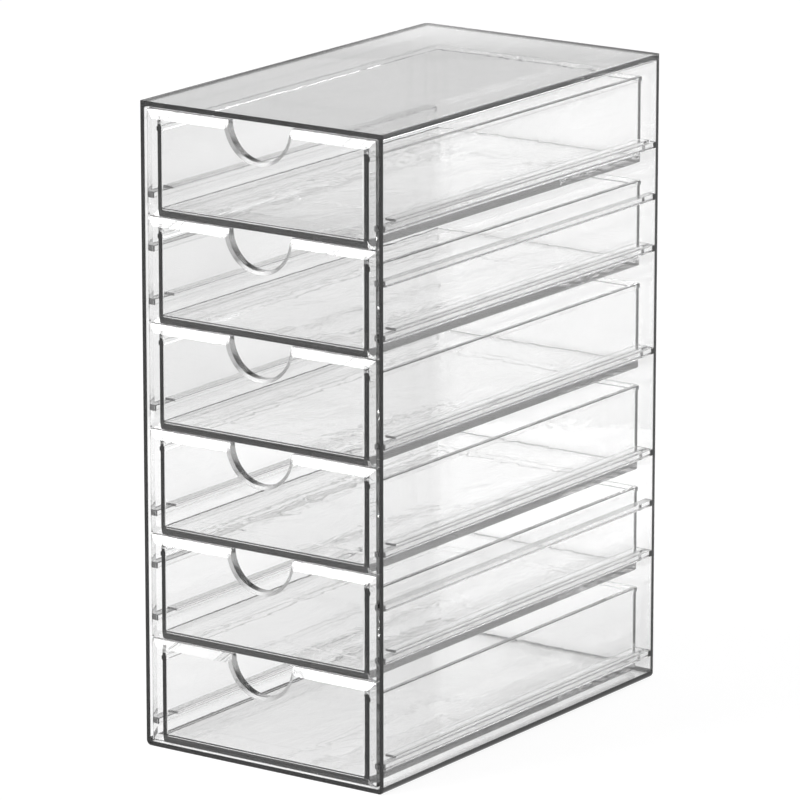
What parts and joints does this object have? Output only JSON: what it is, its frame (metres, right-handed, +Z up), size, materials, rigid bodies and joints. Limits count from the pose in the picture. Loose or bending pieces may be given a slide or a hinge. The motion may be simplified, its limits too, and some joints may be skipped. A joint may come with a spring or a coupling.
{
  "type": "desktop drawer organizer",
  "caption": "Tall clear plastic desktop organizer: an open-fronted case on a flat base, with a stack of sliding drawers that have bevelled fronts and half-round finger notches.",
  "frame": {"origin": "centre of the bottom of the whole organizer's box, on the surface that it stands on", "axes": "+X to the right as seen from the front, +Y from the drawer fronts to the back, +Z up"},
  "size_m": [0.16, 0.2722, 0.3631],
  "materials": {
    "clear_case": "polished clear styrene plastic",
    "clear_drawer": "polished clear styrene plastic"
  },
  "bodies": {
    "case": {"case_shell": "clear_case"},
    "drawer_1_body": {"drawer_1": "clear_drawer"},
    "drawer_2_body": {"drawer_2": "clear_drawer"},
    "drawer_3_body": {"drawer_3": "clear_drawer"},
    "drawer_4_body": {"drawer_4": "clear_drawer"},
    "drawer_5_body": {"drawer_5": "clear_drawer"},
    "drawer_6_body": {"drawer_6": "clear_drawer"}
  },
  "joints": [
    {"name": "drawer_1_slide", "type": "slide", "parent": "case", "child": "drawer_1_body", "axis": [0, -1, 0], "range_m": [0, 0.2]},
    {"name": "drawer_2_slide", "type": "slide", "parent": "case", "child": "drawer_2_body", "axis": [0, -1, 0], "range_m": [0, 0.2]},
    {"name": "drawer_3_slide", "type": "slide", "parent": "case", "child": "drawer_3_body", "axis": [0, -1, 0], "range_m": [0, 0.2]},
    {"name": "drawer_4_slide", "type": "slide", "parent": "case", "child": "drawer_4_body", "axis": [0, -1, 0], "range_m": [0, 0.2]},
    {"name": "drawer_5_slide", "type": "slide", "parent": "case", "child": "drawer_5_body", "axis": [0, -1, 0], "range_m": [0, 0.2]},
    {"name": "drawer_6_slide", "type": "slide", "parent": "case", "child": "drawer_6_body", "axis": [0, -1, 0], "range_m": [0, 0.2]}
  ]
}
